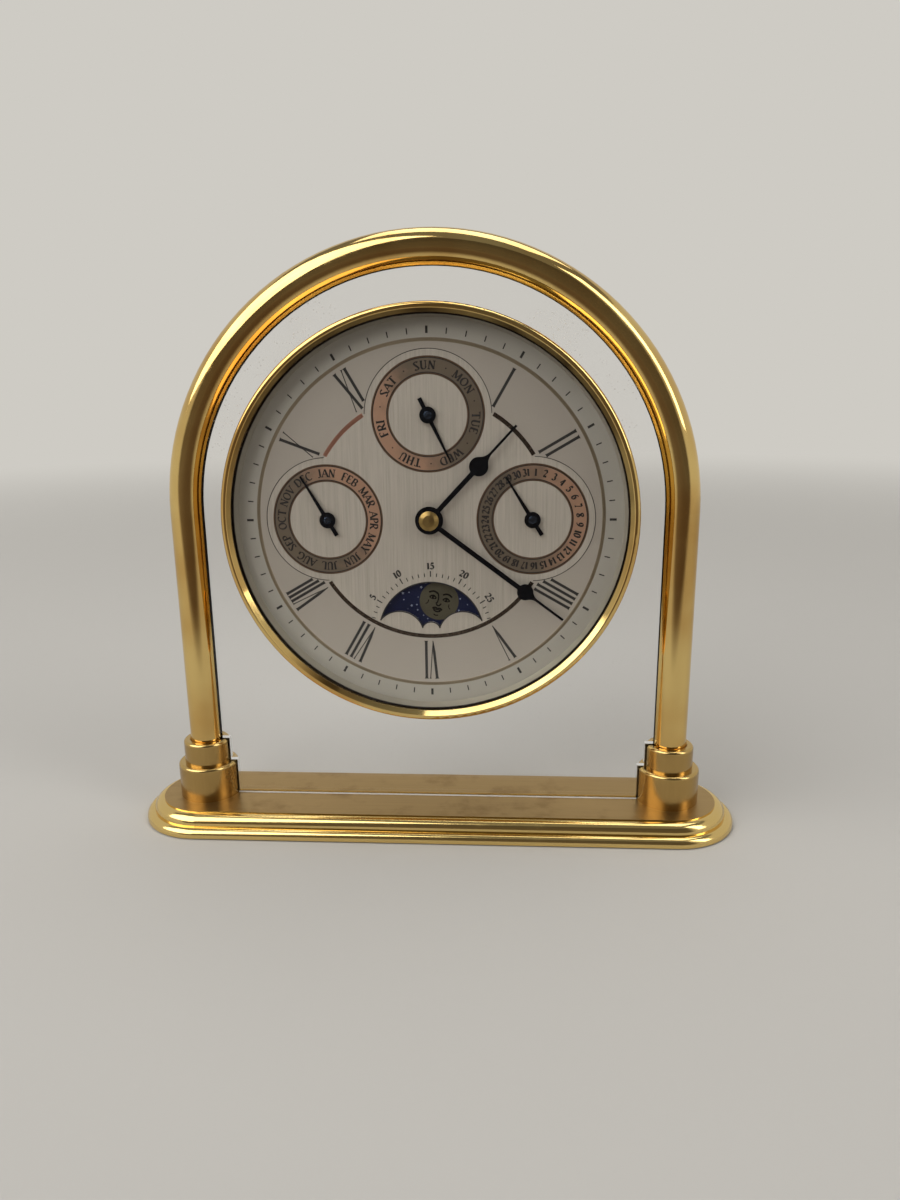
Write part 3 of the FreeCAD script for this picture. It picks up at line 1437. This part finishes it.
def make_motor():
    z = S.head_centre_height
    rotor_x, rotor_z = train_places()["rotor"]
    hole = S.rotor_radius + S.stator_gap
    core_half = S.coil_core_half_height
    stator_front = rotor_level + S.stator_set_back
    stator_rear = stator_front + S.stator_thickness
    coil_left = rotor_x - S.coil_length + S.coil_past_rotor
    coil_right = coil_left + S.coil_length
    core_z = z - S.coil_axis_drop
    outline = box_outline(coil_left - S.stator_leg_width, coil_right + S.stator_leg_width,
                          -S.coil_axis_drop - core_half, rotor_z + hole + S.stator_top_margin)
    loop = plate("stator_loop", *outline, stator_front, S.stator_thickness, z=z,
                 holes=[(rotor_x, rotor_z, hole)])
    window = block("stator_window", (coil_left, stator_front - BEYOND, core_z + core_half),
                   (coil_right, stator_rear + BEYOND, z + rotor_z - hole - S.stator_arm_margin))
    node("stator", cut("stator_cut", loop, window))

    # the bobbin sits on the stator's lower arm, and the winding fills it between its flanges
    axis_depth = stator_front + S.stator_thickness / 2
    left = coil_left + S.coil_gap
    right = coil_right - S.coil_gap
    winding_left = left + S.bobbin_flange
    winding_right = right - S.bobbin_flange
    core_hole = block("bobbin_hole",
                      (coil_left - BEYOND, stator_front - S.coil_gap, core_z - core_half - S.coil_gap),
                      (coil_right + BEYOND, stator_rear + S.coil_gap, core_z + core_half + S.coil_gap))
    bobbin = fuse("bobbin_blank",
                  bar("bobbin_tube", S.bobbin_radius, left, right, axis_depth, core_z),
                  bar("bobbin_left", S.coil_radius, left, winding_left, axis_depth, core_z),
                  bar("bobbin_right", S.coil_radius, winding_right, right, axis_depth, core_z))
    node("coil_bobbin", cut("bobbin", bobbin, core_hole))
    winding = bar("winding_blank", S.coil_radius - S.coil_gap, winding_left, winding_right,
                  axis_depth, core_z)
    through = bar("winding_hole", S.bobbin_radius, coil_left - BEYOND, coil_right + BEYOND,
                  axis_depth, core_z)
    node("coil_winding", cut("winding", winding, through))


def make_cell_and_contacts():
    z = S.head_centre_height - S.cell_drop
    depth = cell_axis_depth
    half = S.cell_length / 2
    can = bar("cell_can", S.cell_radius, -half - S.cell_nub_length / 2, half - S.cell_nub_length / 2,
              depth, z)
    nub = bar("cell_nub", S.cell_nub_radius, half - S.cell_nub_length / 2, half + S.cell_nub_length / 2,
              depth, z)
    node("battery_cell", fuse("cell", can, nub))
    thick = S.contact_thickness
    wall = cell_bay_half_length
    reach = S.contact_half_height
    node("positive_contact", block("positive", (half + S.cell_nub_length / 2, depth - reach, z - reach),
                                   (half + S.cell_nub_length / 2 + thick, depth + reach, z + reach)))
    # the negative contact is a leaf bent out from the wall to the cell's flat end
    plate_left = -wall
    spring_right = -half - S.cell_nub_length / 2
    start = (plate_left, -reach)
    sides = [
        Line(plate_left + thick, -reach),
        Line(spring_right, 0),
        Line(plate_left + thick, reach),
        Line(plate_left, reach),
        Line(plate_left, reach - thick),
        Line(spring_right - S.contact_leaf_depth, 0),
        Line(plate_left, -reach + thick),
        Line(*start),
    ]
    leaf = plate("negative", start, sides, depth - reach / 2, reach, z=z)
    node("negative_contact", leaf)


# ---------------------------------------------------------------- rear cover, door and knobs

def make_rear_cover():
    z = S.head_centre_height
    spigot = drum_bore - S.cover_spigot_gap
    blank = turned("cover_blank", [
        (0, cover_front),
        (spigot - S.cover_spigot_wall, cover_front),
        (spigot - S.cover_spigot_wall, cover_front - S.cover_spigot),
        (spigot, cover_front - S.cover_spigot),
        (spigot, cover_front),
        (S.drum_radius, cover_front),
        (S.drum_radius, cover_rear - S.cover_edge_chamfer),
        (S.drum_radius - S.cover_edge_chamfer, cover_rear),
        (0, cover_rear),
    ], z=z)
    ears = []
    ear_z = z + hinge_axis_height
    for side in (-1, 1):
        inner = side * (S.hinge_half_length + S.hinge_end_gap)
        outer = side * (S.hinge_half_length + S.hinge_end_gap + S.hinge_ear_length)
        left, right = (outer, inner) if side < 0 else (inner, outer)
        ears.append(bar("ear_round", S.hinge_barrel_radius, left, right, hinge_axis_depth, ear_z))
        ears.append(block("ear_foot", (left, cover_rear - S.hinge_ear_root, ear_z - S.hinge_barrel_radius),
                          (right, hinge_axis_depth, ear_z + S.hinge_barrel_radius)))
    before, behind = cover_front - BEYOND, cover_rear + BEYOND
    window_half = S.door_half_width - S.door_margin
    tools = [
        bar("ear_hole", S.hinge_pin_radius, -S.door_half_width, S.door_half_width,
            hinge_axis_depth, ear_z),
        block("door_window", (-window_half, before, z + door_window_bottom),
              (window_half, behind, z + door_window_top)),
        rod("time_hole", S.minute_arbor_radius + S.running_gap, before, behind),
    ]
    for x, up in calendar_places().values():
        tools.append(rod("knob_hole", S.calendar_arbor_radius + S.running_gap, before, behind,
                         x=x, z=z + up))
    for x, up in corner_places(pillar_offset):
        tools.append(rod("cover_screw_hole", S.pillar_screw_radius + S.screw_hole_gap, before, behind,
                         x=x, z=z + up))
    node("rear_cover", cut("cover_cut", fuse("cover_solid", blank, *ears), *tools))


def make_battery_door():
    z = S.head_centre_height
    axis_z = z + hinge_axis_height
    front = cover_rear + S.door_gap
    rear = front + S.door_thickness
    top = z + door_window_top + S.door_margin
    panel = block("door_panel", (-S.door_half_width, front, z + door_bottom),
                  (S.door_half_width, rear, top))
    arm = block("door_arm", (-S.hinge_half_length, front, axis_z),
                (S.hinge_half_length, rear, z + door_bottom))
    barrel = bar("door_barrel", S.hinge_barrel_radius, -S.hinge_half_length, S.hinge_half_length,
                 hinge_axis_depth, axis_z)
    grip_top = top - S.door_grip_drop
    grip = block("door_grip", (-S.door_grip_half_width, rear, grip_top - S.door_grip_height),
                 (S.door_grip_half_width, rear + S.door_grip_rise, grip_top))
    bore = bar("door_bore", S.hinge_pin_radius + S.running_gap, -S.door_half_width, S.door_half_width,
               hinge_axis_depth, axis_z)
    node("battery_door", cut("door_cut", fuse("door_solid", panel, arm, barrel, grip), bore))
    reach = S.hinge_half_length + S.hinge_end_gap + S.hinge_ear_length
    node("door_hinge_pin", bar("hinge_pin", S.hinge_pin_radius, -reach, reach, hinge_axis_depth, axis_z))


def knob_shape(radius, bore, grips):
    """A setting knob with a ring of finger grooves, bored for its arbor from the front."""
    knob = round_solid(radius, knob_front, knob_rear)
    tools = [round_solid(bore, knob_front - BEYOND, arbor_rear)]
    grips = int(float(grips))
    for grip in range(grips):
        x, z = at_angle(float(radius), FULL_TURN * grip / grips)
        tools.append(Part.makeCylinder(float(S.knob_grip_depth), float(S.knob_thickness),
                                       Vector(x, float(knob_front), z), Vector(0, 1, 0)))
    return knob.cut(tools)


def make_knobs():
    shape = knob_shape(S.time_knob_radius, S.minute_arbor_radius, S.time_knob_grips)
    node("time_knob", feature("time", shape))
    for name, (x, up) in calendar_places().items():
        shape = knob_shape(S.calendar_knob_radius, S.calendar_arbor_radius, S.calendar_knob_grips)
        node(f"{name}_knob", feature(f"{name}_setting", shape, x=x, z=up))


# ---------------------------------------------------------------- build, check, write

def main():
    make_base()
    make_base_pad()
    make_collars()
    make_arch_tube()
    make_tube_fixings()
    make_pane()
    make_case()
    make_dial()
    make_calendar_plate()
    make_pillars()
    make_hands()
    make_star_wheels()
    make_jumpers()
    make_motion_works()
    make_movement_shells()
    make_train()
    make_train_plate()
    make_motor()
    make_cell_and_contacts()
    make_rear_cover()
    make_battery_door()
    make_knobs()
    DOC.recompute()

    for thing in DOC.Objects:
        if "Invalid" in thing.State or "Error" in thing.State:
            raise RuntimeError(f"{thing.Name} ({thing.Label}) failed: {thing.State}")
    for thing in NODES:
        shape = thing.Shape
        if shape.isNull() or not shape.isValid() or not shape.Solids:
            raise RuntimeError(f"{thing.Label} has no valid solid")
        shape.exportStep(f"parts/{thing.Label}.step")
        print(f"{thing.Label:24s} {len(shape.Solids):2d} solid(s) {shape.Volume:12.2f} mm3")
    print(len(NODES), "nodes")


main()
